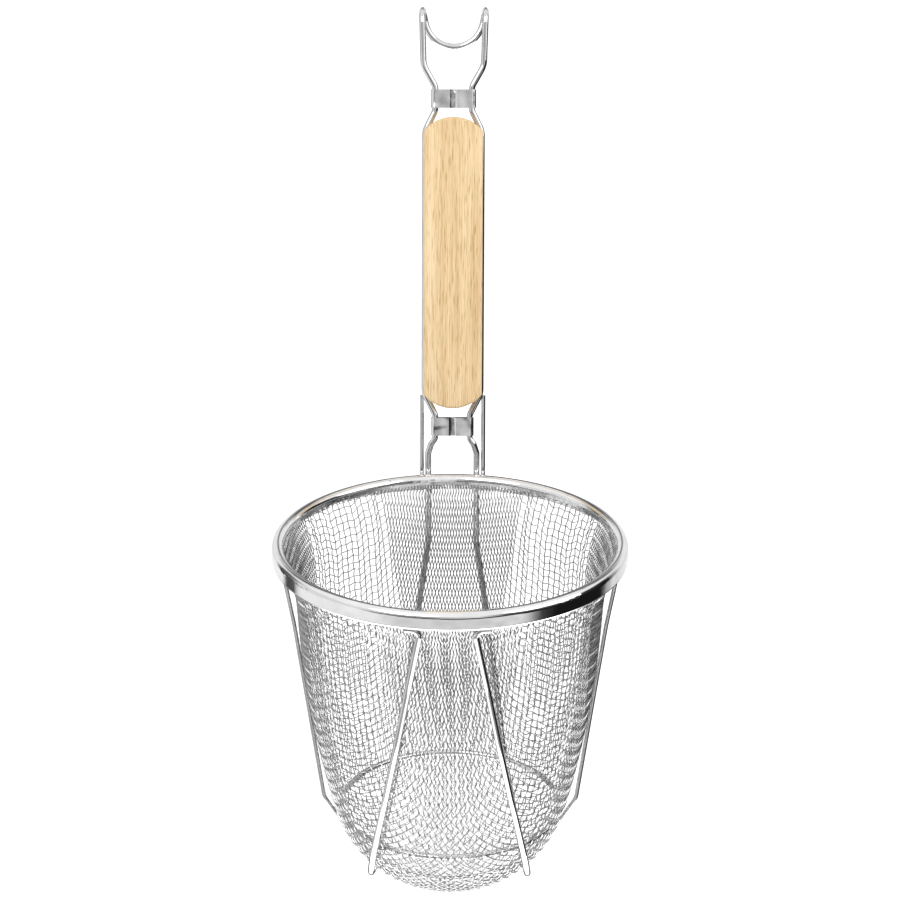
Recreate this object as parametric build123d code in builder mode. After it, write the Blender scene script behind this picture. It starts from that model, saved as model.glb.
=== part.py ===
from build123d import *
from math import acos, asin, atan2, copysign, cos, degrees, hypot, pi, radians, sin, sqrt
import os

# Deep wire basket strainer with a wooden grip and a hanging hook.
# Millimetres. +Z is the axis of the basket, up; the handle is on the +Y side.
# The origin is the centre of the basket's mouth, level with the top of the rim.

# Rim: a rolled strip that folds over the edge of the mesh
rim_diameter = 150.0
rim_thickness = 5.1
rim_skirt_height = 7.6
rim_lip_height = 3.9
rim_sheet = 0.6
rim_hem = 0.5
rim_seam_gap = 0.3
rim_seam_angle = 112.8
core_wire = 3.5

# Basket of woven wire cloth: a flared mouth, a barrel wall and a dome
mesh_thickness = 1.0
mesh_rim_inset = 3.4
neck_inset = 10.05
neck_depth = 30.0
dome_radius = 52.4
basket_depth = 162.0
dome_start_angle = 14.5

# Openings in the basket's wall: a plain grid of windows between upright bars and hoops
grid_columns = 24
grid_bottom_columns = 12
grid_rows_below_ring = 4
grid_bar_width = 2.4
grid_cut_reach = 3.0

# Ring inside the basket that stiffens the dome
ring_wire = 2.5
ring_height = 36.6

# Wires of the cage and the handle
frame_wire_diameter = 2.8
side_wire_diameter = 1.8
brace_wire_diameter = 2.0
touch_gap = 0.1
leg_gap = 0.55

# Cage: where the wires run on the basket
back_leg_half_spacing = 10.7
back_leg_knee_half_spacing = 14.2
back_leg_knee_depth = 54.0
front_leg_half_spacing = 10.9
foot_half_spacing = 32.0
foot_height = 34.0
foot_standoff = 0.9
tip_half_spacing = 34.0
tip_standoff = 1.0
under_half_spacing = 33.0
heel_half_spacing = 29.5
heel_standoff = 1.6
back_foot_half_spacing = 24.0
back_foot_standoff = 1.3
under_step_share = 0.504
under_bend_radius = 38.0
curl_length = 6.4
curl_radius = 2.9
wall_bend_radius = 60.0
foot_bend_radius = 6.0
leg_clear_depth = 11.5
side_wire_knee_depth = 40.0
side_wire_knee_radius = 60.0
side_wire_touch_depth = 70.1
side_wire_foot_height = 39.5
side_wire_foot_radius = 9.0

# Handle: it leans back above the kink
handle_lean = 15.0
kink_height = 13.2
kink_half_spacing = 9.4
kink_bend_radius = 3.0
leg_straight_height = 9.0
clamp_lower_start = 3.8
clamp_height = 8.0
clamp_sheet = 0.4
clamp_lower_half_spacing = 7.6
clamp_upper_half_spacing = 8.0
clamp_bend_radius = 5.0
clamp_bend_offset = 1.2
crimp_half_width = 1.6
crimp_depth = 1.2

# Grip: one flat block of wood, rounded at both ends
grip_start = 16.4
grip_length = 127.6
grip_width = 25.8
grip_thickness = 13.0
grip_end_radius = 16.9
grip_edge_radius = 1.2
grip_corner_radius = 1.5
grip_wire_protrusion = 0.9
grip_bend_radius = 9.0
clamp_gap = 3.9

# Hook: the frame wire turns over backwards and comes down as a cross loop
hook_height = 35.8
hook_half_spacing = 13.9
hook_waist_height = 10.4
hook_waist_half_spacing = 13.2
hook_slot = 8.0
hook_bend_radius = 9.0
hook_turn_share = 0.49
loop_radius = 12.8
loop_drop = 15.8

# Braces between the grip's lower corners and the rim
brace_half_spacing = 13.6
brace_top = 21.4
brace_top_behind = 2.2
brace_bend_height = 1.5
brace_bottom_depth = 8.4
brace_bend_radius = 8.0

# Values worked out from the sizes above
rim_radius = rim_diameter / 2
rim_roll = rim_thickness / 2
roll_radius = rim_radius - rim_roll
frame_radius = frame_wire_diameter / 2
side_radius = side_wire_diameter / 2
brace_radius = brace_wire_diameter / 2
dome_z = dome_radius - basket_depth
dome_start = radians(dome_start_angle)
neck_point = (rim_radius - neck_inset, -neck_depth)
ring_depth = basket_depth - ring_height
foot_depth = basket_depth - foot_height
side_wire_foot_depth = basket_depth - side_wire_foot_height
mouth_z = -rim_roll - core_wire / 2 - 3 * touch_gap
mouth_point = (rim_radius - mesh_rim_inset, mouth_z)
frame_back = sqrt((rim_radius + frame_radius + touch_gap) ** 2 - back_leg_half_spacing ** 2)
lean = radians(handle_lean)


# Geometry of the basket's wall, in the (radius, height) section
def tangent_circle(start, direction, end):
    """Centre and radius of the circle that leaves start along direction and passes end."""
    normal = (-direction[1], direction[0])
    chord = (end[0] - start[0], end[1] - start[1])
    across = chord[0] * normal[0] + chord[1] * normal[1]
    radius = (chord[0] ** 2 + chord[1] ** 2) / (2 * across)
    return (start[0] + normal[0] * radius, start[1] + normal[1] * radius), radius


def tangent_at(centre, radius, point):
    """Direction of travel at a point of a circle given by tangent_circle."""
    return ((point[1] - centre[1]) / -radius, (point[0] - centre[0]) / radius)


barrel_start = (dome_radius * cos(dome_start), dome_z - dome_radius * sin(dome_start))
barrel_direction = (sin(dome_start), cos(dome_start))
barrel_centre, barrel_radius = tangent_circle(barrel_start, barrel_direction, neck_point)
flare_direction = tangent_at(barrel_centre, barrel_radius, neck_point)
flare_centre, flare_radius = tangent_circle(neck_point, flare_direction, mouth_point)
mouth_direction = tangent_at(flare_centre, flare_radius, mouth_point)


def inward(point, direction, inset):
    """A point of the wall moved square to it, towards the inside."""
    return (point[0] - direction[1] * inset, point[1] + direction[0] * inset)


def wall_radius(z):
    """Outer radius of the basket at height z."""
    if z < barrel_start[1]:
        return sqrt(dome_radius ** 2 - (z - dome_z) ** 2)
    centre, radius = (barrel_centre, barrel_radius) if z < neck_point[1] else (flare_centre, flare_radius)
    return centre[0] + copysign(sqrt(radius ** 2 - (z - centre[1]) ** 2), radius)


def beside_barrel(z, touch_z, off):
    """Radius at height z on the straight line that passes the barrel at touch_z, off from it."""
    angle = asin((touch_z - barrel_centre[1]) / barrel_radius)
    reach = barrel_radius + off
    return barrel_centre[0] + (reach - (z - barrel_centre[1]) * sin(angle)) / cos(angle)


def wall_curve(inset):
    """The wall from the bottom of the dome to the mouth, moved inwards by inset."""
    dome = CenterArc((0, dome_z), dome_radius - inset, -90, 90 - dome_start_angle)
    barrel = TangentArc(dome @ 1, inward(neck_point, flare_direction, inset), tangent=dome % 1)
    TangentArc(barrel @ 1, inward(mouth_point, mouth_direction, inset), tangent=barrel % 1)


def finish(builder, label):
    builder.part.label = label
    export_step(builder.part, f"parts/{label}.step")


def wire_along(path, radius):
    """Sweep a round wire along the path that is being built."""
    with BuildSketch(Plane(origin=path @ 0, z_dir=path % 0)) as section:
        Circle(radius)
    sweep(section.sketch, path=path)


os.makedirs("parts", exist_ok=True)


# Basket: one thin shell, as thick as two wires of the cloth, with a grid of openings
with BuildLine() as outer_line:
    wall_curve(0)
outer_wall = outer_line.wire()
ring_angle = acos((ring_depth + dome_z) / dome_radius)
row_pitch = dome_radius * ring_angle / grid_rows_below_ring
row_count = int(outer_wall.length / row_pitch)


def wall_place(length):
    """The place on the outer wall at a length from the bottom, and the direction upwards there."""
    place = outer_wall.position_at(length, position_mode=PositionMode.LENGTH)
    return place, outer_wall.tangent_at(length, position_mode=PositionMode.LENGTH)


def window_plane(row, angle):
    """The plane that touches the wall in the middle of an opening."""
    middle, up = wall_place((row + 1 / 2) * row_pitch)
    origin = (middle.X * cos(angle), middle.X * sin(angle), middle.Y)
    outwards = (up.Y * cos(angle), up.Y * sin(angle), -up.X)
    return Plane(origin=origin, x_dir=(-sin(angle), cos(angle), 0), z_dir=outwards)


def window_corners(row, columns):
    """Corners of an opening between two hoops and two upright bars."""
    low, low_way = wall_place(row * row_pitch + grid_bar_width / 2)
    high, high_way = wall_place((row + 1) * row_pitch - grid_bar_width / 2)
    bottom = pi * low.X / columns - grid_bar_width / 2
    top = pi * high.X / columns - grid_bar_width / 2
    rise = (high - low).length / 2
    return [(-bottom, -rise), (bottom, -rise), (top, rise), (-top, rise)]


with BuildPart() as basket_mesh:
    with BuildSketch(Plane.XZ):
        with BuildLine():
            wall_curve(0)
            wall_curve(mesh_thickness)
            Line(mouth_point, inward(mouth_point, mouth_direction, mesh_thickness))
            Line((0, -basket_depth), (0, mesh_thickness - basket_depth))
        make_face()
    revolve(axis=Axis.Z)
    for row in range(1, row_count):
        columns = grid_bottom_columns if row == 1 else grid_columns
        for column in range(columns):
            with BuildSketch(window_plane(row, 2 * pi * (column + 1 / 2) / columns)):
                Polygon(*window_corners(row, columns))
    extrude(amount=grid_cut_reach, both=True, mode=Mode.SUBTRACT)
finish(basket_mesh, "basket_mesh")


# Rim band: the strip's section is revolved, short of a full turn by its butt seam
seam = radians(rim_seam_angle)
seam_plane = Plane(origin=(0, 0, 0), x_dir=(cos(seam), sin(seam), 0), z_dir=(sin(seam), -cos(seam), 0))
seam_turn = degrees(rim_seam_gap / rim_radius)


def rim_line(inset):
    """The strip's face from the lip over the roll to the hem of the skirt."""
    inner = rim_radius - rim_thickness + inset
    outer = rim_radius - inset
    top = (roll_radius, -inset)
    hem_top = -rim_skirt_height + 2 * rim_hem
    Line((inner, -rim_lip_height), (inner, -rim_roll))
    ThreePointArc((inner, -rim_roll), top, (outer, -rim_roll))
    skirt = Line((outer, -rim_roll), (outer, hem_top))
    TangentArc(skirt @ 1, (outer - rim_hem, -rim_skirt_height), tangent=skirt % 1)


with BuildPart() as rim_band:
    with BuildSketch(seam_plane):
        with BuildLine():
            rim_line(0)
            rim_line(rim_sheet)
            Line((rim_radius - rim_thickness, -rim_lip_height),
                 (rim_radius - rim_thickness + rim_sheet, -rim_lip_height))
            Line((rim_radius - rim_hem, -rim_skirt_height),
                 (rim_radius - rim_hem - rim_sheet, -rim_skirt_height))
        make_face()
    revolve(axis=Axis.Z, revolution_arc=360 - seam_turn)
finish(rim_band, "rim_band")


# Core ring: the round wire that the strip is rolled over
with BuildPart() as rim_core_ring:
    with BuildSketch(Plane.XZ):
        with Locations((roll_radius, -rim_roll)):
            Circle(core_wire / 2)
    revolve(axis=Axis.Z)
finish(rim_core_ring, "rim_core_ring")


# Bottom ring: it lies against the inside of the dome
ring_reach = dome_radius - mesh_thickness - ring_wire / 2 - touch_gap
ring_radius = sqrt(ring_reach ** 2 - (dome_z + ring_depth) ** 2)
with BuildPart() as bottom_ring:
    with BuildSketch(Plane.XZ):
        with Locations((ring_radius, -ring_depth)):
            Circle(ring_wire / 2)
    revolve(axis=Axis.Z)
finish(bottom_ring, "bottom_ring")


# Places on the handle: across, along and behind the plane of its two wires
handle_plane = Plane(origin=(0, frame_back, kink_height), x_dir=(1, 0, 0), z_dir=(0, -cos(lean), sin(lean)))


def on_handle(across, along, behind=0):
    return handle_plane.from_local_coords((across, along, -behind))


def on_wall(across, z, off, front):
    """A point beside the wall, off from it, on the front or the back of the basket."""
    reach = wall_radius(z) + off
    y = sqrt(reach ** 2 - across ** 2)
    return Vector(across, -y if front else y, z)


def between(low, high, share):
    return low + (high - low) * share


# Frame wire: one wire from curl to curl, under the basket, up the handle and over the hook
leg_off = frame_radius + leg_gap
curl_z = -rim_skirt_height - frame_radius - touch_gap
under_standoff = side_wire_diameter + 4 * touch_gap
clamp_lower_end = clamp_lower_start + clamp_height
grip_end = grip_start + grip_length
grip_corner = grip_end_radius - sqrt(grip_end_radius ** 2 - (grip_width / 2) ** 2)
grip_wire_half_spacing = grip_width / 2 + grip_wire_protrusion - frame_radius
clamp_upper_start = grip_end + clamp_gap
clamp_upper_end = clamp_upper_start + clamp_height
hook_top = clamp_upper_end + hook_height - frame_radius
hook_gap = hook_slot + frame_wire_diameter
loop_bottom = hook_top - loop_drop
loop_centre = loop_bottom + loop_radius
loop_start = hook_top - hook_gap / 2
loop_half_spacing = sqrt(loop_radius ** 2 - (loop_centre - loop_start) ** 2)
loop_slope = (loop_centre - loop_start) / loop_half_spacing
grip_top_corner = grip_end - grip_corner
grip_low_corner = grip_start + grip_corner


def beside_dome(across, off, front):
    """A place beside the dome at the depth of the feet."""
    drop = foot_depth + dome_z
    reach = sqrt((dome_radius + frame_radius + off) ** 2 - across ** 2)
    out = sqrt(reach ** 2 - drop ** 2)
    return Vector(across, -out if front else out, -foot_depth)


front_foot = beside_dome(foot_half_spacing, foot_standoff, True)
under_step = atan2(-front_foot.Y, foot_depth + dome_z) * under_step_share


def under_dome(across, off, step):
    """A corner of the bends below the dome, so far out that the wire stays off by off."""
    half_step = under_step / 2
    reach = sqrt((dome_radius + frame_radius + off) ** 2 - across ** 2) / cos(half_step)
    angle = 2 * step * half_step
    return Vector(across, -reach * sin(angle), dome_z - reach * cos(angle))


wall_shares = (0.25, 0.5, 0.75)
front_leg = []
for share in wall_shares:
    z = between(curl_z, -foot_depth, share)
    front_leg.append((between(front_leg_half_spacing, foot_half_spacing, share), z))
back_leg = []
for share in wall_shares:
    z = between(-back_leg_knee_depth, -foot_depth, share)
    back_leg.append((between(back_leg_knee_half_spacing, back_foot_half_spacing, share), z))


def frame_points(side):
    """Corners of one half of the frame wire with the radius of the bend at each."""
    curl = on_wall(side * front_leg_half_spacing, curl_z, leg_off, True)
    outwards = Vector(-curl.Y, curl.X, 0).normalized() * side
    route = [(curl + outwards * curl_length, 0), (curl, curl_radius)]
    route += [(on_wall(side * x, z, leg_off, True), wall_bend_radius) for x, z in front_leg]
    route += [(beside_dome(side * foot_half_spacing, foot_standoff, True), foot_bend_radius)]
    route += [(under_dome(side * tip_half_spacing, tip_standoff, 1), under_bend_radius)]
    route += [(under_dome(side * under_half_spacing, under_standoff, 0), under_bend_radius)]
    route += [(under_dome(side * heel_half_spacing, heel_standoff, -1), under_bend_radius)]
    route += [(beside_dome(side * back_foot_half_spacing, back_foot_standoff, False), foot_bend_radius)]
    route += [(on_wall(side * x, z, leg_off, False), wall_bend_radius) for x, z in reversed(back_leg)]
    knee = on_wall(side * back_leg_knee_half_spacing, -back_leg_knee_depth, leg_off, False)
    route += [(knee, wall_bend_radius)]
    route += [(on_wall(side * back_leg_half_spacing, -neck_depth, leg_off, False), wall_bend_radius / 4)]
    route += [(Vector(side * back_leg_half_spacing, frame_back, -leg_clear_depth), wall_bend_radius / 4)]
    route += [(Vector(side * back_leg_half_spacing, frame_back, leg_straight_height), kink_bend_radius)]
    route += [(on_handle(side * kink_half_spacing, 0), kink_bend_radius)]
    route += [(on_handle(side * clamp_lower_half_spacing, clamp_lower_start - clamp_bend_offset), kink_bend_radius)]
    route += grip_points(side)
    route += [(on_handle(side * clamp_upper_half_spacing, clamp_upper_end + clamp_bend_offset), clamp_bend_radius)]
    route += [(on_handle(side * hook_waist_half_spacing, clamp_upper_end + hook_waist_height), hook_bend_radius)]
    turn = hook_gap * hook_turn_share
    route += [(on_handle(side * hook_half_spacing, hook_top), turn)]
    back_top = loop_half_spacing + (hook_top - loop_start) * loop_slope
    route += [(on_handle(side * back_top, hook_top, hook_gap), turn)]
    route += [(on_handle(side * loop_half_spacing, loop_start, hook_gap), 0)]
    return route


def grip_points(side):
    """Corners of the stretch that runs along the grip, from clamp to clamp."""
    return [
        (on_handle(side * clamp_lower_half_spacing, clamp_lower_end + clamp_bend_offset), clamp_bend_radius),
        (on_handle(side * grip_wire_half_spacing, grip_low_corner), grip_bend_radius),
        (on_handle(side * grip_wire_half_spacing, grip_top_corner), grip_bend_radius),
        (on_handle(side * clamp_upper_half_spacing, clamp_upper_start - clamp_bend_offset), clamp_bend_radius),
    ]


def bent_line(route):
    """Straight runs between the corners of a route, joined by arcs."""
    corners = [corner for corner, bend in route]
    bends = [bend for corner, bend in route]
    return FilletPolyline(*corners, radius=bends[1:-1])


with BuildPart() as frame_wire:
    with BuildLine() as frame_path:
        left_half = bent_line(frame_points(-1))
        loop_low = on_handle(0, loop_bottom, hook_gap)
        loop = ThreePointArc(left_half @ 1, loop_low, on_handle(loop_half_spacing, loop_start, hook_gap))
        bent_line(list(reversed(frame_points(1))))
    wire_along(frame_path.wire(), frame_radius)
finish(frame_wire, "frame_wire")


# Height of the corner under a round bend whose lowest point is low_z, seen from a place beside it
def corner_below(out, z, bend, low_z):
    drop = z - low_z - bend
    angle = atan2(out, -drop) - acos(bend / hypot(out, drop))
    return low_z + bend - bend / cos(angle)


# Side support wire: from under the rim at the left, below the dome, to the rim at the right
side_top_z = -rim_skirt_height + frame_wire_diameter
side_top = wall_radius(side_top_z) + side_radius + 2 * touch_gap
side_off = side_radius + touch_gap
side_knee = beside_barrel(-side_wire_knee_depth, -side_wire_touch_depth, side_off)
side_foot = beside_barrel(-side_wire_foot_depth, -side_wire_touch_depth, side_off)
side_reach = dome_radius + side_radius + touch_gap
side_corner_z = corner_below(side_foot, -side_wire_foot_depth, side_reach, dome_z - side_reach)
with BuildPart() as side_support_wire:
    with BuildLine() as side_path:
        FilletPolyline(
            (-side_top, 0, side_top_z),
            (-side_knee, 0, -side_wire_knee_depth),
            (-side_foot, 0, -side_wire_foot_depth),
            (0, 0, side_corner_z),
            (side_foot, 0, -side_wire_foot_depth),
            (side_knee, 0, -side_wire_knee_depth),
            (side_top, 0, side_top_z),
            radius=[
                side_wire_knee_radius, side_wire_foot_radius, side_reach,
                side_wire_foot_radius, side_wire_knee_radius,
            ],
        )
    wire_along(side_path.wire(), side_radius)
finish(side_support_wire, "side_support_wire")


# Brace wires: from the frame wire's bend below the grip down to the outside of the rim
brace_y = sqrt((rim_radius + brace_radius + touch_gap) ** 2 - brace_half_spacing ** 2)
for side, label in ((-1, "brace_wire_left"), (1, "brace_wire_right")):
    with BuildPart() as brace_wire:
        with BuildLine() as brace_path:
            FilletPolyline(
                on_handle(side * brace_half_spacing, brace_top, brace_top_behind),
                (side * brace_half_spacing, brace_y, brace_bend_height),
                (side * brace_half_spacing, brace_y, -brace_bottom_depth),
                radius=[brace_bend_radius],
            )
        wire_along(brace_path.wire(), brace_radius)
    finish(brace_wire, label)


# Clamps: a sheet band around both wires, crimped together in the middle
def band_outline(half, reach):
    """Half circles around the two wires, joined by faces that dip in the middle."""
    for face in (-1, 1):
        Polyline((-half, face * reach), (-crimp_half_width, face * reach), (0, face * (reach - crimp_depth)),
                 (crimp_half_width, face * reach), (half, face * reach))
    ThreePointArc((half, -reach), (half + reach, 0), (half, reach))
    ThreePointArc((-half, -reach), (-half - reach, 0), (-half, reach))


band_reach = frame_radius + touch_gap
for start, half, label in (
    (clamp_lower_start, clamp_lower_half_spacing, "lower_clamp"),
    (clamp_upper_start, clamp_upper_half_spacing, "upper_clamp"),
):
    with BuildPart() as clamp:
        with BuildSketch(Plane(origin=on_handle(0, start), x_dir=(1, 0, 0), z_dir=handle_plane.y_dir)):
            with BuildLine():
                band_outline(half, band_reach + clamp_sheet)
            make_face()
            with BuildLine():
                band_outline(half, band_reach)
            make_face(mode=Mode.SUBTRACT)
        extrude(amount=clamp_height)
    finish(clamp, label)


# Grip: a flat block with round ends, grooved along both sides for the frame wire
with BuildPart() as wood_grip:
    with BuildSketch(handle_plane.offset(-grip_thickness / 2)):
        with BuildLine():
            half = grip_width / 2
            Line((-half, grip_low_corner), (-half, grip_top_corner))
            Line((half, grip_low_corner), (half, grip_top_corner))
            ThreePointArc((-half, grip_top_corner), (0, grip_end), (half, grip_top_corner))
            ThreePointArc((-half, grip_low_corner), (0, grip_start), (half, grip_low_corner))
        make_face()
    extrude(amount=grip_thickness)
    corners = edges().filter_by(Axis(handle_plane.origin, handle_plane.z_dir))
    fillet(corners, radius=grip_corner_radius)
    flat_faces = faces().filter_by(Axis(handle_plane.origin, handle_plane.z_dir))
    fillet(flat_faces.edges(), radius=grip_edge_radius)
    for side in (-1, 1):
        with BuildLine() as groove_path:
            bent_line(grip_points(side))
        with BuildSketch(Plane(origin=groove_path.wire() @ 0, z_dir=groove_path.wire() % 0)):
            Circle(frame_radius + touch_gap)
        sweep(path=groove_path.wire(), mode=Mode.SUBTRACT)
finish(wood_grip, "wood_grip")


# Volume of each wire against its section times its length
for builder, path, radius in (
    (frame_wire, frame_path, frame_radius),
    (side_support_wire, side_path, side_radius),
):
    length = path.wire().length
    print(builder.part.label, "length", round(length, 1),
          "volume ratio", round(builder.part.volume / (pi * radius ** 2 * length), 4))
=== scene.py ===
import math

import bpy
import numpy as np
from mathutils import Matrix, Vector


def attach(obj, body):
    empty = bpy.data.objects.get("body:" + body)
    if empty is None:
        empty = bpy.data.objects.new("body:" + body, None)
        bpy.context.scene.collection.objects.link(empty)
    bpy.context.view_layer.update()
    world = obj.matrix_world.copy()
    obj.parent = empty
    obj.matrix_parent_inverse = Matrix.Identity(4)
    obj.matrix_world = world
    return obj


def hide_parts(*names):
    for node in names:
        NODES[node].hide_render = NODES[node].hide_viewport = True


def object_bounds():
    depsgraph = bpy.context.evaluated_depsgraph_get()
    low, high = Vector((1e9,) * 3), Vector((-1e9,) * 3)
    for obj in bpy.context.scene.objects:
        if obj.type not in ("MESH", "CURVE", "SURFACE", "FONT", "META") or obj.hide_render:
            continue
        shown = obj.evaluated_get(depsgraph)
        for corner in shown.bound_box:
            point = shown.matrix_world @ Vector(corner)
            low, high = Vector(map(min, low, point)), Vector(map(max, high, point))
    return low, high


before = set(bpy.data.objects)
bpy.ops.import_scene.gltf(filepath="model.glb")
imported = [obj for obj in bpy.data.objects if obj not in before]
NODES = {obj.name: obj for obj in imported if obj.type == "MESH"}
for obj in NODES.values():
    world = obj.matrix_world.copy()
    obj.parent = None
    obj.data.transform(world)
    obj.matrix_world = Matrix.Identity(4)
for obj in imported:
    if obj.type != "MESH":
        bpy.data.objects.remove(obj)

CAD_BOX = [list(corner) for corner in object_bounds()]
MM = 0.001

# Woven cloth: wires of one size crossing square, which jam when the cloth is sheared too far
CLOTH_PITCH = 3.2 * MM
CLOTH_WIRE = 0.5 * MM
CLOTH_LOCK_ANGLE = math.radians(30)
CLOTH_TURN = math.radians(45)
CLOTH_SIDES = 5
CLOTH_STEPS = 3
CLOTH_SPARE_ROWS = 3

# How the cloth is laid into the cup and evened out. In the first rows the wires through the pole run on by
# themselves, and from then on they follow their neighbours.
LAY_ROUNDS = 12
LAY_RATE = 0.75
LAY_FREE_ROWS = 4
EASE_ROUNDS = 800
EASE_RATE = 1.2
PROJECT_ROUNDS = 2

# The basket's wall, outside, as in the solids, and as thick as two crossing wires
DOME_RADIUS = 52.4 * MM
BASKET_DEPTH = 162.0 * MM
DOME_START_ANGLE = math.radians(14.5)
NECK = (64.95 * MM, -30.0 * MM)
MOUTH = (71.6 * MM, -4.6 * MM)
WALL_HALF = CLOTH_WIRE
WALL_POINTS = 500
FLARE_POINTS = 200
ABOVE_MOUTH = 260 * MM
ABOVE_POINTS = 1200

HANDLE_LEAN = math.radians(15)


# The wall of the basket
def tangent_circle(start, direction, end):
    """Centre and signed radius of the circle that leaves start along direction and passes through end."""
    normal = (-direction[1], direction[0])
    chord = (end[0] - start[0], end[1] - start[1])
    across = chord[0] * normal[0] + chord[1] * normal[1]
    radius = (chord[0] ** 2 + chord[1] ** 2) / (2 * across)
    return (start[0] + normal[0] * radius, start[1] + normal[1] * radius), radius


def arc(centre, radius, start, end, count):
    """Points on the circle from start to end, the short way round."""
    first = math.atan2(start[1] - centre[1], start[0] - centre[0])
    last = math.atan2(end[1] - centre[1], end[0] - centre[0])
    turn = (last - first + math.pi) % (2 * math.pi) - math.pi
    angle = first + turn * np.linspace(0, 1, count)
    return np.stack([centre[0] + abs(radius) * np.cos(angle), centre[1] + abs(radius) * np.sin(angle)], 1)


def wall_profile():
    """Points (r, z) of the cloth's middle surface from the pole to the mouth and straight on above it."""
    dome_z = DOME_RADIUS - BASKET_DEPTH
    barrel_way = (math.sin(DOME_START_ANGLE), math.cos(DOME_START_ANGLE))
    barrel_start = (DOME_RADIUS * math.cos(DOME_START_ANGLE),
                    dome_z - DOME_RADIUS * math.sin(DOME_START_ANGLE))
    barrel_centre, barrel_radius = tangent_circle(barrel_start, barrel_way, NECK)
    flare_way = ((NECK[1] - barrel_centre[1]) / -barrel_radius, (NECK[0] - barrel_centre[0]) / barrel_radius)
    flare_centre, flare_radius = tangent_circle(NECK, flare_way, MOUTH)
    outer = np.vstack([
        arc((0, dome_z), DOME_RADIUS, (0, -BASKET_DEPTH), barrel_start, WALL_POINTS),
        arc(barrel_centre, barrel_radius, barrel_start, NECK, WALL_POINTS)[1:],
        arc(flare_centre, flare_radius, NECK, MOUTH, FLARE_POINTS)[1:],
    ])
    way = np.gradient(outer, axis=0)
    way /= np.linalg.norm(way, axis=1)[:, None]
    middle = outer + WALL_HALF * np.stack([-way[:, 1], way[:, 0]], 1)
    rise = ABOVE_MOUTH * np.linspace(0, 1, ABOVE_POINTS + 1)[1:]
    above = np.stack([np.full(ABOVE_POINTS, middle[-1, 0]), middle[-1, 1] + rise], 1)
    points = np.vstack([middle, above])
    length = np.concatenate([[0], np.cumsum(np.linalg.norm(np.diff(points, axis=0), axis=1))])
    return points, length, length[len(middle) - 1]


WALL, WALL_LENGTH, MOUTH_LENGTH = wall_profile()
WALL_WAY = np.gradient(WALL, axis=0)
WALL_WAY /= np.linalg.norm(WALL_WAY, axis=1)[:, None]


def at_length(along):
    """The wall's radius and height at a length measured along it from the pole."""
    return np.interp(along, WALL_LENGTH, WALL[:, 0]), np.interp(along, WALL_LENGTH, WALL[:, 1])


def way_at(along):
    """The wall's direction, outwards and upwards, at a length measured along it from the pole."""
    return np.interp(along, WALL_LENGTH, WALL_WAY[:, 0]), np.interp(along, WALL_LENGTH, WALL_WAY[:, 1])


def onto_wall(points):
    """The nearest points of the wall at the same angle around the axis, and their lengths from the pole."""
    r = np.hypot(points[:, 0], points[:, 1])
    angle = np.arctan2(points[:, 1], points[:, 0])
    away = (r[:, None] - WALL[None, :, 0]) ** 2 + (points[:, 2][:, None] - WALL[None, :, 1]) ** 2
    near = away.argmin(axis=1)
    found = WALL[near]
    nearest = np.stack([found[:, 0] * np.cos(angle), found[:, 0] * np.sin(angle), found[:, 1]], 1)
    return nearest, WALL_LENGTH[near]


def laid_net():
    """Crossings of the cloth pressed into the cup, for one quarter: equal wire lengths between crossings, and
    wires that cannot shear past the angle at which they jam. It is laid outwards from the pole, one
    diagonal row at a time."""
    count = int(MOUTH_LENGTH / CLOTH_PITCH) + CLOTH_SPARE_ROWS
    gap = 2 * CLOTH_PITCH * math.sin(CLOTH_LOCK_ANGLE / 2)
    place = np.full((count, count, 3), np.nan)
    length = np.full((count, count), np.nan)

    def set_principal(k, along):
        """Put crossing k of both wires through the pole at a length along the wall."""
        r, z = at_length(along)
        place[k, 0] = (r, 0, z)
        place[0, k] = (0, r, z)
        length[k, 0] = length[0, k] = along

    set_principal(0, 0.0)
    set_principal(1, CLOTH_PITCH)
    for k in range(2, 2 * count - 1):
        if k < count:
            set_principal(k, length[k - 1, 0] + CLOTH_PITCH)
        i = np.arange(max(1, k - count + 1), min(k - 1, count - 1) + 1)
        j = k - i
        before_i, before_j = place[i - 1, j], place[i, j - 1]
        row = before_i + before_j - place[i - 1, j - 1]
        first = place[i[0] - 1, j[0] + 1][None] if j[0] + 1 < count else row[:0]
        last = place[i[-1] + 1, j[-1] - 1][None] if i[-1] + 1 < count else row[:0]
        for _ in range(LAY_ROUNDS):
            shift = np.zeros_like(row)
            for other in (before_i, before_j):
                away = row - other
                shift += (CLOTH_PITCH / np.linalg.norm(away, axis=1)[:, None] - 1) * away
            row = row + LAY_RATE * shift
            chain = np.vstack([first, row, last])
            step = chain[1:] - chain[:-1]
            size = np.linalg.norm(step, axis=1)[:, None]
            push = np.minimum(size - gap, 0) / size / 2 * step
            nudge = np.zeros_like(chain)
            nudge[:-1] += push
            nudge[1:] -= push
            row = row + nudge[len(first):len(first) + len(row)]
            row, along = onto_wall(row)
        place[i, j] = row
        length[i, j] = along
        if LAY_FREE_ROWS <= k <= count:
            # A row's lengths follow a parabola about this wire, so the second step is three times the first
            lag = (length[k - 2, 2] - length[k - 2, 1]) / 3 if k > LAY_FREE_ROWS else 0.0
            set_principal(k - 1, length[k - 1, 1] - lag)
    return place, length


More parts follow.
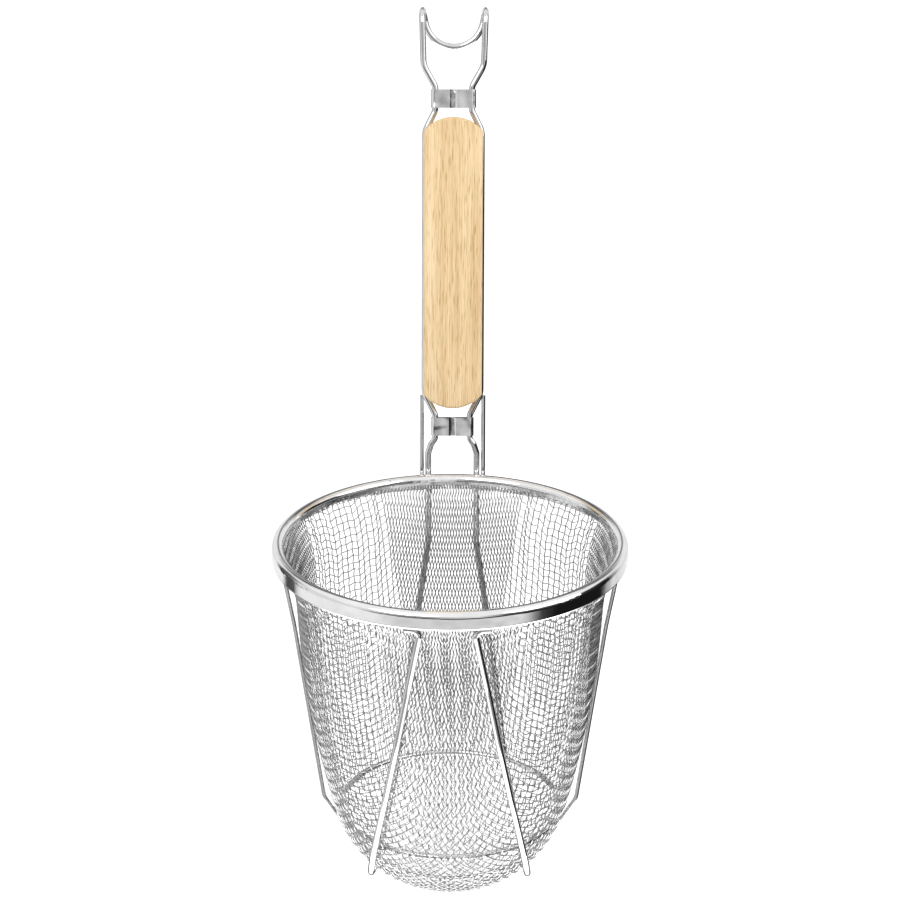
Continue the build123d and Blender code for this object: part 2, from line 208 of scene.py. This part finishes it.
def eased_net(place, length):
    """The laid net evened out all at once: every wire keeps its length between crossings, and no corner of
    the cloth closes past the angle at which it jams."""
    gap = 2 * CLOTH_PITCH * math.sin(CLOTH_LOCK_ANGLE / 2)
    every, low, high = slice(None), slice(0, -1), slice(1, None)
    pairs = (((low, every), (high, every), False), ((every, low), (every, high), False),
             ((low, high), (high, low), True))
    for _ in range(EASE_ROUNDS):
        moved = np.zeros_like(place)
        share = np.zeros(place.shape[:2])
        for a, b, corner in pairs:
            away = place[b] - place[a]
            size = np.linalg.norm(away, axis=2)
            excess = np.minimum(size - gap, 0) if corner else size - CLOTH_PITCH
            pull = (excess / size / 2)[..., None] * away
            moved[a] += pull
            moved[b] -= pull
            acts = excess < 0 if corner else 1
            share[a] += acts
            share[b] += acts
        goal = place + EASE_RATE * moved / np.maximum(share, 1)[..., None]
        goal[:, 0, 1] = 0
        goal[0, :, 0] = 0
        goal[0, 0] = place[0, 0]
        r = np.hypot(goal[..., 0], goal[..., 1])
        angle = np.arctan2(goal[..., 1], goal[..., 0])
        for _ in range(PROJECT_ROUNDS):
            wall_r, wall_z = at_length(length)
            way_r, way_z = way_at(length)
            ahead = (r - wall_r) * way_r + (goal[..., 2] - wall_z) * way_z
            length = np.clip(length + ahead, 0, WALL_LENGTH[-1])
        wall_r, wall_z = at_length(length)
        place = np.stack([wall_r * np.cos(angle), wall_r * np.sin(angle), wall_z], -1)
    return place, length


def whole_net():
    """The whole net, mirrored from one quarter and turned so that the front looks along its diagonal."""
    place, length = eased_net(*laid_net())
    count = len(length)
    index = np.abs(np.arange(-count + 1, count))
    sign = np.sign(np.arange(-count + 1, count))
    full = place[index][:, index].copy()
    full[..., 0] *= np.where(sign == 0, 1, sign)[:, None]
    full[..., 1] *= np.where(sign == 0, 1, sign)[None, :]
    x, y = full[..., 0].copy(), full[..., 1].copy()
    full[..., 0] = x * math.cos(CLOTH_TURN) - y * math.sin(CLOTH_TURN)
    full[..., 1] = x * math.sin(CLOTH_TURN) + y * math.cos(CLOTH_TURN)
    return full, length[index][:, index]


def wall_normal(points, along):
    """Outward normals of the wall at points and at their lengths along it from the pole."""
    angle = np.arctan2(points[:, 1], points[:, 0])
    way_r, way_z = way_at(along)
    return np.stack([way_z * np.cos(angle), way_z * np.sin(angle), -way_r], 1)


def woven_path(nodes, lengths, first_sign):
    """A wire's centre line, smooth through its crossings and waved in and out of the cloth."""
    count = len(nodes)
    at = np.arange((count - 1) * CLOTH_STEPS + 1) / CLOTH_STEPS
    cell = np.minimum(at.astype(int), count - 2)
    part = (at - cell)[:, None]
    padded = np.vstack([2 * nodes[0] - nodes[1], nodes, 2 * nodes[-1] - nodes[-2]])
    # A cubic between two crossings, p1 and p2, that also heeds the ones before and after them
    p0, p1, p2, p3 = (padded[cell + k] for k in range(4))
    line = 0.5 * (2 * p1 + (p2 - p0) * part + (2 * p0 - 5 * p1 + 4 * p2 - p3) * part ** 2
                  + (3 * p1 - p0 - 3 * p2 + p3) * part ** 3)
    along = np.interp(at, np.arange(count), lengths)
    normal = wall_normal(line, along)
    line = line + first_sign * (CLOTH_WIRE / 2) * np.cos(np.pi * at)[:, None] * normal
    return line, normal, along


def cut_at_mouth(line, normal, along):
    """The part of a wire inside the basket, with an end exactly at the mouth wherever it passes it."""
    inside = np.flatnonzero(along <= MOUTH_LENGTH)
    low, high = inside[0], inside[-1]
    parts = [(line[low:high + 1], normal[low:high + 1])]

    def end_at_mouth(last, beyond):
        part = (MOUTH_LENGTH - along[last]) / (along[beyond] - along[last])
        return (line[last] + part * (line[beyond] - line[last]))[None], normal[last][None]

    if low > 0:
        parts.insert(0, end_at_mouth(low, low - 1))
    if high < len(along) - 1:
        parts.append(end_at_mouth(high, high + 1))
    lines, normals = zip(*parts)
    return np.vstack(lines), np.vstack(normals)


def tube(line, normal, radius, sides):
    """Vertices and quads of a tube around line, open at its ends, its rings squared to the normal."""
    way = np.gradient(line, axis=0)
    way /= np.linalg.norm(way, axis=1)[:, None]
    side = np.cross(way, normal)
    side /= np.linalg.norm(side, axis=1)[:, None]
    up = np.cross(side, way)
    angle = 2 * np.pi * np.arange(sides) / sides
    ring = line[:, None] + radius * (np.cos(angle)[None, :, None] * up[:, None]
                                     + np.sin(angle)[None, :, None] * side[:, None])
    count = len(line)
    a = np.arange(count - 1)[:, None] * sides + np.arange(sides)[None]
    b = np.arange(count - 1)[:, None] * sides + (np.arange(sides)[None] + 1) % sides
    quads = np.stack([a, b, b + sides, a + sides], -1).reshape(-1, 4)
    return ring.reshape(-1, 3), quads


def mesh_piece(name, verts, quads, material):
    """A smooth piece of the still body made from vertices and quads."""
    mesh = bpy.data.meshes.new(name)
    mesh.vertices.add(len(verts))
    mesh.vertices.foreach_set("co", np.ascontiguousarray(verts, dtype=np.float32).ravel())
    mesh.loops.add(4 * len(quads))
    mesh.loops.foreach_set("vertex_index", np.ascontiguousarray(quads, dtype=np.int32).ravel())
    mesh.polygons.add(len(quads))
    mesh.polygons.foreach_set("loop_start", np.arange(0, 4 * len(quads), 4, dtype=np.int32))
    mesh.update(calc_edges=True)
    mesh.validate()
    mesh.shade_smooth()
    mesh.materials.append(material)
    piece = bpy.data.objects.new(name, mesh)
    bpy.context.scene.collection.objects.link(piece)
    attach(piece, "root")
    return piece


def woven_cloth(material):
    """The wires that run both ways, each way in two pieces, in place of the solid basket."""
    place, length = whole_net()
    count = len(length)
    middle = count // 2
    for family in ("warp", "weft"):
        for half in ("left", "right"):
            verts, quads, total = [], [], 0
            lines = range(0, middle) if half == "left" else range(middle, count)
            for k in lines:
                nodes = place[:, k] if family == "warp" else place[k]
                lengths = length[:, k] if family == "warp" else length[k]
                inside = np.flatnonzero(lengths <= MOUTH_LENGTH)
                if len(inside) < 2:
                    continue
                low = max(inside[0] - 1, 0)
                high = min(inside[-1] + 1, count - 1)
                sign = (1 if family == "warp" else -1) * (1 if (low + k) % 2 == 0 else -1)
                line, normal, along = woven_path(nodes[low:high + 1], lengths[low:high + 1], sign)
                line, normal = cut_at_mouth(line, normal, along)
                wire_verts, wire_quads = tube(line, normal, CLOTH_WIRE / 2, CLOTH_SIDES)
                verts.append(wire_verts)
                quads.append(wire_quads + total)
                total += len(wire_verts)
            name = f"cloth_{family}_{half}"
            piece = mesh_piece(name, np.vstack(verts), np.vstack(quads), material)
            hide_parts("basket_mesh")


# Materials

# Steel: how much bluer its dark clouds are, its fine marks upwards as a share of those across, and its dents
STEEL_BLUE = 0.005
SCRATCH_UPWARD_SHARE = 0.15
DENTS_PER_METRE = 130

# Oak's marks per metre across the grip, through it and along it
OAK_BANDS = (180, 90, 9)
OAK_FIBRES = (1900, 1900, 28)
OAK_PORES = (3000, 3000, 130)
PORE_DEPTH = 0.12 * MM

# Oak's colour along the bands, and what its fibres and pores multiply it by
OAK_BAND_COLOURS = ((0.30, (0.70, 0.49, 0.26)), (0.50, (0.82, 0.615, 0.36)), (0.72, (0.87, 0.69, 0.44)))
OAK_FIBRE_SHADES = ((0.34, (0.84, 0.80, 0.73)), (0.58, (1.0, 1.0, 1.0)))
OAK_PORE_SHADES = ((0.30, (0.66, 0.56, 0.43)), (0.44, (1.0, 1.0, 1.0)))


def new_material(name):
    material = bpy.data.materials.new(name)
    material.use_nodes = True
    tree = material.node_tree
    return material, tree, tree.nodes["Principled BSDF"]


def link(tree, value, socket):
    """Feed a socket from another node's output or with a plain number."""
    if isinstance(value, (int, float)):
        socket.default_value = value
    else:
        tree.links.new(value, socket)


def noise(tree, vector, scale, detail, roughness):
    node = tree.nodes.new("ShaderNodeTexNoise")
    node.inputs["Scale"].default_value = scale
    node.inputs["Detail"].default_value = detail
    node.inputs["Roughness"].default_value = roughness
    link(tree, vector, node.inputs["Vector"])
    return node.outputs["Fac"]


def mapping(tree, scale=(1, 1, 1), turn=(0, 0, 0)):
    """The object's own coordinates, turned first and then scaled along the turned axes."""
    where = tree.nodes.new("ShaderNodeTexCoord")
    vector = where.outputs["Object"]
    for socket, value in (("Rotation", turn), ("Scale", scale)):
        node = tree.nodes.new("ShaderNodeMapping")
        node.inputs[socket].default_value = value
        link(tree, vector, node.inputs["Vector"])
        vector = node.outputs["Vector"]
    return vector


def spread(tree, value, low, high, to_low, to_high):
    """The value carried over from one range to another, held at its ends."""
    node = tree.nodes.new("ShaderNodeMapRange")
    for name, number in (("From Min", low), ("From Max", high), ("To Min", to_low), ("To Max", to_high)):
        node.inputs[name].default_value = number
    link(tree, value, node.inputs["Value"])
    return node.outputs["Result"]


def ramp(tree, value, stops):
    """A colour that runs through the stops, each a place from 0 to 1 and a colour."""
    node = tree.nodes.new("ShaderNodeValToRGB")
    ends = node.color_ramp.elements
    for k, (place, colour) in enumerate(stops):
        stop = ends[k] if k < len(ends) else ends.new(place)
        stop.position = place
        stop.color = (*colour, 1)
    link(tree, value, node.inputs["Fac"])
    return node.outputs["Color"]


def bump(tree, height, strength, distance, over=None):
    node = tree.nodes.new("ShaderNodeBump")
    node.inputs["Strength"].default_value = strength
    node.inputs["Distance"].default_value = distance
    link(tree, height, node.inputs["Height"])
    if over is not None:
        link(tree, over, node.inputs["Normal"])
    return node.outputs["Normal"]


def maths(tree, kind, a, b):
    node = tree.nodes.new("ShaderNodeMath")
    node.operation = kind
    link(tree, a, node.inputs[0])
    link(tree, b, node.inputs[1])
    return node.outputs[0]


def blend_colours(tree, share, a, b, kind="MIX"):
    node = tree.nodes.new("ShaderNodeMix")
    node.data_type = "RGBA"
    node.blend_type = kind
    link(tree, share, node.inputs["Factor"])
    link(tree, a, node.inputs["A"])
    link(tree, b, node.inputs["B"])
    return node.outputs["Result"]


def steel(name, dark, pale, rough, blotch, scratch, scratch_depth, dent_depth=0.0):
    """Bright steel with cloudy handling marks, fine drawing lines and soft dents. Dark and pale are reflected
    shares, rough is a low and a high end, and blotch and scratch are marks per metre."""
    material, tree, shader = new_material(name)
    shader.inputs["Metallic"].default_value = 1.0
    cloud = noise(tree, mapping(tree), blotch, detail=4.0, roughness=0.6)
    tones = [(0.3, (dark, dark, dark + STEEL_BLUE)), (0.7, (pale, pale, pale))]
    link(tree, ramp(tree, cloud, tones), shader.inputs["Base Color"])
    fine = noise(tree, mapping(tree, (1, 1, SCRATCH_UPWARD_SHARE)), scratch, detail=2.0, roughness=0.7)
    mixed = maths(tree, "ADD", cloud, fine)
    link(tree, spread(tree, mixed, 0.7, 1.3, *rough), shader.inputs["Roughness"])
    lines = bump(tree, fine, strength=0.25, distance=scratch_depth)
    soft = noise(tree, mapping(tree), DENTS_PER_METRE, detail=1.0, roughness=0.4)
    dents = bump(tree, soft, strength=1.0, distance=dent_depth, over=lines)
    link(tree, dents, shader.inputs["Normal"])
    return material


def oak(name):
    """Pale oak: growth bands, fibres and short dark pores that all run along the grip."""
    material, tree, shader = new_material(name)
    turned = (HANDLE_LEAN, 0, 0)
    bands = noise(tree, mapping(tree, OAK_BANDS, turned), 1.0, detail=4.0, roughness=0.6)
    fibre = noise(tree, mapping(tree, OAK_FIBRES, turned), 1.0, detail=3.0, roughness=0.6)
    pores = noise(tree, mapping(tree, OAK_PORES, turned), 1.0, detail=1.0, roughness=0.5)
    colour = ramp(tree, bands, OAK_BAND_COLOURS)
    for other in (ramp(tree, fibre, OAK_FIBRE_SHADES), ramp(tree, pores, OAK_PORE_SHADES)):
        colour = blend_colours(tree, 1.0, colour, other, "MULTIPLY")
    link(tree, colour, shader.inputs["Base Color"])
    link(tree, spread(tree, fibre, 0.3, 0.7, 0.62, 0.48), shader.inputs["Roughness"])
    shader.inputs["Specular IOR Level"].default_value = 0.35
    link(tree, bump(tree, pores, strength=0.35, distance=PORE_DEPTH), shader.inputs["Normal"])
    return material


CLOTH_STEEL = steel("cloth_steel", dark=0.38, pale=0.68, rough=(0.05, 0.14), blotch=260,
                    scratch=2500, scratch_depth=0.02 * MM)
RIM_STEEL = steel("rim_steel_polished", dark=0.80, pale=0.90, rough=(0.03, 0.10), blotch=90,
                  scratch=1800, scratch_depth=0.01 * MM, dent_depth=0.1 * MM)
WIRE_STEEL = steel("wire_steel_polished", dark=0.64, pale=0.80, rough=(0.04, 0.12), blotch=120,
                   scratch=2200, scratch_depth=0.02 * MM)
CLAMP_STEEL = steel("clamp_steel_polished", dark=0.74, pale=0.86, rough=(0.10, 0.22), blotch=160,
                    scratch=2200, scratch_depth=0.02 * MM, dent_depth=0.8 * MM)
GRIP_OAK = oak("grip_oak")

FINISH = {
    "basket_mesh": CLOTH_STEEL,
    "rim_band": RIM_STEEL,
    "rim_core_ring": WIRE_STEEL,
    "bottom_ring": WIRE_STEEL,
    "frame_wire": WIRE_STEEL,
    "side_support_wire": WIRE_STEEL,
    "brace_wire_left": WIRE_STEEL,
    "brace_wire_right": WIRE_STEEL,
    "lower_clamp": CLAMP_STEEL,
    "upper_clamp": CLAMP_STEEL,
    "wood_grip": GRIP_OAK,
}
for node_name, finish in FINISH.items():
    slots = NODES[node_name].data.materials
    for k in range(len(slots)):
        slots[k] = finish

woven_cloth(CLOTH_STEEL)


# Floor, world, lights and camera

# The studio as the metal mirrors it, in zones from the floor to the ceiling. Each zone fades in between
# two shares of height, where 0 is straight down, 0.5 level and 1 straight up, and lasts until the next.
# Its stops are a share round the horizon and a brightness: 0 is behind the object, 0.25 at its left, 0.5
# on the camera's side and 0.75 at its right.
ALL_WHITE = ((0, 1), (1, 1))
FAR_BELOW = ((0, 0.15), (0.12, 0.25), (0.18, 0.85), (0.25, 0.85), (0.32, 0.45), (0.50, 0.38), (0.60, 0.38),
             (0.65, 0.08), (0.70, 0.01), (0.82, 0.01), (0.88, 0.15))
LOW = ((0, 0.20), (0.03, 0.95), (0.12, 1), (0.14, 0.08), (0.17, 0.10), (0.19, 0.95), (0.36, 1),
       (0.42, 0.75), (0.54, 0.75), (0.63, 0.9), (0.67, 0.06), (0.70, 0.01), (0.82, 0.01), (0.86, 0.8),
       (0.97, 0.95), (1, 0.2))
UP_TO_LEVEL = ((0, 0.08), (0.03, 0.8), (0.12, 0.85), (0.14, 0.05), (0.18, 0.1), (0.21, 0.85),
               (0.34, 0.85), (0.38, 0.10), (0.50, 0.03), (0.64, 0.01), (0.82, 0.01), (0.87, 0.8),
               (0.97, 0.85), (1, 0.08))
ABOVE_LEVEL = ((0, 0.10), (0.03, 0.9), (0.12, 0.9), (0.14, 0.08), (0.18, 0.2), (0.21, 0.8),
               (0.36, 0.8), (0.42, 0.40), (0.46, 0.35), (0.51, 0.65), (0.55, 0.90), (0.60, 0.10),
               (0.82, 0.01), (0.87, 0.9), (0.97, 0.9), (1, 0.1))
HIGH = ((0, 0.08), (0.07, 0.12), (0.13, 0.9), (0.18, 1), (0.80, 1), (0.87, 0.9), (0.93, 0.12))
STUDIO_ZONES = (
    ((0.12, 0.16), FAR_BELOW),
    ((0.26, 0.29), LOW),
    ((0.375, 0.405), UP_TO_LEVEL),
    ((0.51, 0.53), ABOVE_LEVEL),
    ((0.70, 0.78), HIGH),
    ((0.82, 0.88), ALL_WHITE),
)

# Straight down the studio is brighter, which fades out between two shares of height. What is dull is lit
# by an even room instead.
BELOW_BRIGHTNESS = 3.8
BELOW_FADE = (0.09, 0.15)
ROOM_BRIGHTNESS = 0.75

FLOOR_HALF = 3.0
FLOOR_TONE = 0.9
FLOOR_ROUGHNESS = 0.9
FLOOR_GLOW = 0.45

# Lamps: name, place, width and power in watts, all aimed at the middle of the mouth
LAMPS = (
    ("key", (-0.6, -0.9, 1.1), 0.9, 9),
    ("fill", (0.9, -0.4, 0.7), 1.0, 4),
)

# The photo's camera, with its lens in pixels of a picture 900 wide
CAMERA_ELEVATION = math.radians(21.65)
CAMERA_AZIMUTH = math.radians(0.8)
CAMERA_DISTANCE = 1.2
CAMERA_TARGET = (0, 0, 40.35 * MM)
CAMERA_NEAR = 50 * MM
PHOTO_LENS = 2889.16
PHOTO_WIDTH = 900
SENSOR_WIDTH = 36


def greys(stops):
    return [(place, (level, level, level)) for place, level in stops]


def background(tree, strength):
    node = tree.nodes.new("ShaderNodeBackground")
    node.inputs["Color"].default_value = (1, 1, 1, 1)
    node.inputs["Strength"].default_value = strength
    return node


def pick_shader(tree, share, a, b):
    """Shader a where the share is 0 and shader b where it is 1."""
    node = tree.nodes.new("ShaderNodeMixShader")
    for value, socket in zip((share, a, b), node.inputs):
        link(tree, value, socket)
    return node.outputs[0]


def world_light():
    """White to the camera, an even room for what is dull and the studio's zones for what is polished."""
    world = bpy.data.worlds.new("studio")
    bpy.context.scene.world = world
    world.use_nodes = True
    tree = world.node_tree
    tree.nodes.clear()
    out = tree.nodes.new("ShaderNodeOutputWorld")
    path = tree.nodes.new("ShaderNodeLightPath")
    where = tree.nodes.new("ShaderNodeTexCoord")
    apart = tree.nodes.new("ShaderNodeSeparateXYZ")
    link(tree, where.outputs["Generated"], apart.inputs[0])
    turn = maths(tree, "ARCTAN2", apart.outputs["X"], maths(tree, "MULTIPLY", apart.outputs["Y"], -1))
    around = spread(tree, turn, -math.pi, math.pi, 0, 1)
    height = spread(tree, apart.outputs["Z"], -1, 1, 0, 1)
    mirrored = ramp(tree, around, greys(ALL_WHITE))
    for (start, end), stops in STUDIO_ZONES:
        zone = ramp(tree, around, greys(stops))
        mirrored = blend_colours(tree, spread(tree, height, start, end, 0, 1), mirrored, zone)
    room = background(tree, ROOM_BRIGHTNESS)
    studio = background(tree, 1.0)
    link(tree, mirrored, studio.inputs["Color"])
    link(tree, spread(tree, height, *BELOW_FADE, BELOW_BRIGHTNESS, 1.0), studio.inputs["Strength"])
    light = pick_shader(tree, path.outputs["Is Glossy Ray"], room.outputs[0], studio.outputs[0])
    white = background(tree, 1.0)
    seen = pick_shader(tree, path.outputs["Is Camera Ray"], light, white.outputs[0])
    link(tree, seen, out.inputs["Surface"])


def glow(tree, strength):
    node = tree.nodes.new("ShaderNodeEmission")
    node.inputs["Strength"].default_value = strength
    return node.outputs[0]


def floor():
    """A plain pale floor that keeps the shadow, looks brighter than it is and is unseen in the metal."""
    mesh = bpy.data.meshes.new("floor")
    level = CAD_BOX[0][2]
    corners = [(x * FLOOR_HALF, y * FLOOR_HALF, level) for x, y in ((-1, -1), (1, -1), (1, 1), (-1, 1))]
    mesh.from_pydata(corners, [], [(0, 1, 2, 3)])
    piece = bpy.data.objects.new("floor", mesh)
    bpy.context.scene.collection.objects.link(piece)
    material, tree, shader = new_material("floor_white")
    shader.inputs["Base Color"].default_value = (FLOOR_TONE, FLOOR_TONE, FLOOR_TONE, 1)
    shader.inputs["Roughness"].default_value = FLOOR_ROUGHNESS
    shader.inputs["Specular IOR Level"].default_value = 0.0
    path = tree.nodes.new("ShaderNodeLightPath")
    shine = pick_shader(tree, path.outputs["Is Camera Ray"], glow(tree, 0.0), glow(tree, FLOOR_GLOW))
    both = tree.nodes.new("ShaderNodeAddShader")
    link(tree, shader.outputs[0], both.inputs[0])
    link(tree, shine, both.inputs[1])
    link(tree, both.outputs[0], tree.nodes["Material Output"].inputs["Surface"])
    mesh.materials.append(material)
    piece.visible_glossy = False


def area(name, place, width, power):
    """A round soft lamp that points at the origin."""
    lamp = bpy.data.lights.new(name, "AREA")
    lamp.shape = "DISK"
    lamp.size = width
    lamp.energy = power
    piece = bpy.data.objects.new(name, lamp)
    bpy.context.scene.collection.objects.link(piece)
    piece.location = place
    piece.rotation_euler = (-Vector(place)).to_track_quat("-Z", "Y").to_euler()


def camera():
    flat = math.cos(CAMERA_ELEVATION)
    rise = math.sin(CAMERA_ELEVATION)
    way = Vector((flat * math.sin(CAMERA_AZIMUTH), -flat * math.cos(CAMERA_AZIMUTH), rise))
    lens = bpy.data.cameras.new("camera")
    lens.sensor_width = SENSOR_WIDTH
    lens.lens = PHOTO_LENS / PHOTO_WIDTH * SENSOR_WIDTH
    lens.clip_start = CAMERA_NEAR
    piece = bpy.data.objects.new("camera", lens)
    bpy.context.scene.collection.objects.link(piece)
    piece.location = Vector(CAMERA_TARGET) + CAMERA_DISTANCE * way
    piece.rotation_euler = (-way).to_track_quat("-Z", "Y").to_euler()
    bpy.context.scene.camera = piece


world_light()
floor()
for lamp_name, lamp_place, lamp_width, lamp_power in LAMPS:
    area(lamp_name, lamp_place, lamp_width, lamp_power)
camera()
bpy.context.scene.view_settings.view_transform = "Standard"
